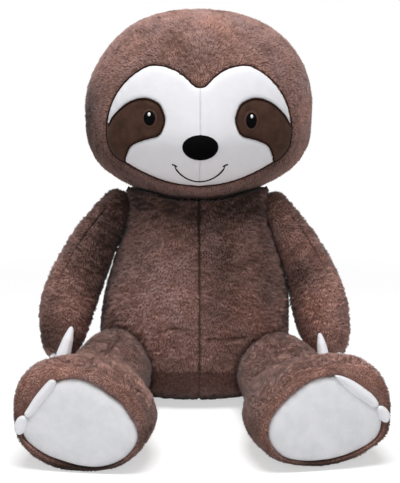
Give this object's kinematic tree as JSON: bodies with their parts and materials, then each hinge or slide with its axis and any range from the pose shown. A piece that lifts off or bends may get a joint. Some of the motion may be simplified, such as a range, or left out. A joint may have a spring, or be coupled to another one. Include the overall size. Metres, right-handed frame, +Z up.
{
  "type": "seated plush sloth",
  "caption": "Large seated plush sloth with white heart-shaped face, dark eye patches, long arms with white soft claws and white oval soles",
  "frame": {"origin": "Middle of the flat seat, on the floor that the toy sits on", "axes": "+Z up, -Y the way the face and soles look, +X the toy's own left"},
  "size_m": [0.497, 0.5085, 0.613],
  "materials": {
    "brown_plush": "long polyester pile, warm brown, combed downwards",
    "short_plush": "shorter, darker brown pile under the seat",
    "white_velour": "short white velour",
    "dark_velour": "short dark brown velour",
    "black_velour": "short black velour",
    "black_thread": "black satin stitch with a slight gloss",
    "white_thread": "white satin stitch with a slight gloss",
    "filling": "loose white polyester fibre"
  },
  "bodies": {
    "torso": {"torso_filling": "filling", "torso_front_left": "brown_plush", "torso_front_right": "brown_plush", "torso_back_left": "brown_plush", "torso_back_right": "brown_plush", "seat_panel": "short_plush"},
    "head": {"neck_filling": "filling", "head_filling": "filling", "hood_left": "brown_plush", "hood_right": "brown_plush", "hood_back": "brown_plush", "face_left": "white_velour", "face_right": "white_velour", "eye_patch_left": "dark_velour", "eye_patch_right": "dark_velour", "eye_left": "black_thread", "eye_right": "black_thread", "eye_highlight_left": "white_thread", "eye_highlight_right": "white_thread", "nose": "black_velour", "smile_stitching": "black_thread"},
    "arm_left": {"arm_left_filling": "filling", "arm_left_outer": "brown_plush", "arm_left_inner": "brown_plush", "hand_claw_left_front": "white_velour", "hand_claw_left_rear": "white_velour"},
    "arm_right": {"arm_right_filling": "filling", "arm_right_outer": "brown_plush", "arm_right_inner": "brown_plush", "hand_claw_right_front": "white_velour", "hand_claw_right_rear": "white_velour"},
    "leg_left": {"leg_left_filling": "filling", "leg_left_outer": "brown_plush", "leg_left_inner": "brown_plush", "sole_left": "white_velour", "foot_claw_left_upper": "white_velour", "foot_claw_left_outer": "white_velour"},
    "leg_right": {"leg_right_filling": "filling", "leg_right_outer": "brown_plush", "leg_right_inner": "brown_plush", "sole_right": "white_velour", "foot_claw_right_upper": "white_velour", "foot_claw_right_outer": "white_velour"}
  },
  "joints": [
    {"name": "head_turn", "type": "hinge", "parent": "torso", "child": "head", "pos_m": [0, 0, 0.333], "axis": [0, 0, 1], "range_deg": [-35, 35]},
    {"name": "arm_left_lift", "type": "hinge", "parent": "torso", "child": "arm_left", "pos_m": [0.12136, 0, 0.30751], "axis": [0, -1, 0], "range_deg": [0, 60]},
    {"name": "arm_right_lift", "type": "hinge", "parent": "torso", "child": "arm_right", "pos_m": [-0.12136, 0, 0.30751], "axis": [0, 1, 0], "range_deg": [0, 60]},
    {"name": "leg_left_splay", "type": "hinge", "parent": "torso", "child": "leg_left", "pos_m": [0.11396, -0.0851, 0.0625], "axis": [0, 0, 1], "range_deg": [-10, 20]},
    {"name": "leg_right_splay", "type": "hinge", "parent": "torso", "child": "leg_right", "pos_m": [-0.11396, -0.0851, 0.0625], "axis": [0, 0, -1], "range_deg": [-10, 20]}
  ]
}
